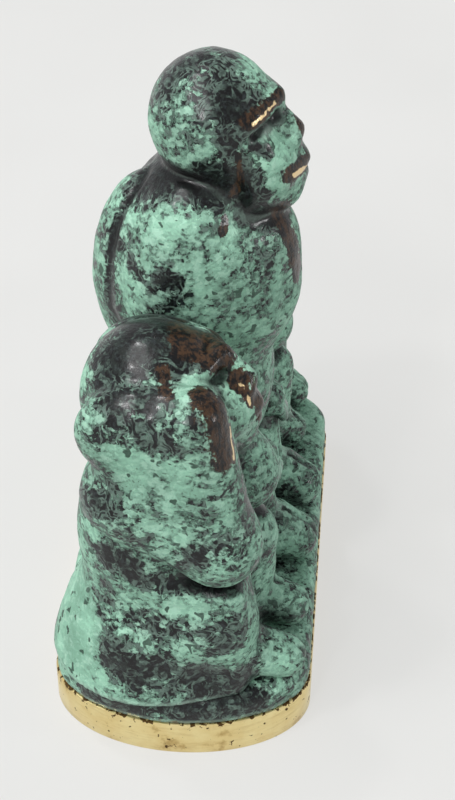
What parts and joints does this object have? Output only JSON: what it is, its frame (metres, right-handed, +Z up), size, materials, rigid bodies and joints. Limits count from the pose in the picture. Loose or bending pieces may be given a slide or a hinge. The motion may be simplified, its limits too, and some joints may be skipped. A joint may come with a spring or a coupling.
{
  "type": "three wise monkeys figurine",
  "caption": "Cast bronze desk figurine: a tall seated monkey between two small ones covering ears and mouth, on a bowed plinth with a polished brass foot.",
  "frame": {"origin": "centre of the underside of the foot", "axes": "+Z up, +X along the row of figures, every face towards -Y"},
  "size_m": [0.0736, 0.035, 0.0837],
  "materials": {
    "patinated_bronze": "cast bronze with green and black patina, waxed",
    "polished_brass": "machined and polished, lightly scratched",
    "fixing_steel": "zinc plated",
    "felt": "dark green felt"
  },
  "bodies": {
    "root": {"base_plate": "polished_brass", "plinth": "patinated_bronze", "felt_pad": "felt", "figure_hear": "patinated_bronze", "figure_see": "patinated_bronze", "figure_speak": "patinated_bronze", "screw_hear": "fixing_steel", "screw_see": "fixing_steel", "screw_speak": "fixing_steel", "washer_hear": "fixing_steel", "washer_see": "fixing_steel", "washer_speak": "fixing_steel", "dowel_hear": "fixing_steel", "dowel_see": "fixing_steel", "dowel_speak": "fixing_steel"}
  },
  "joints": []
}
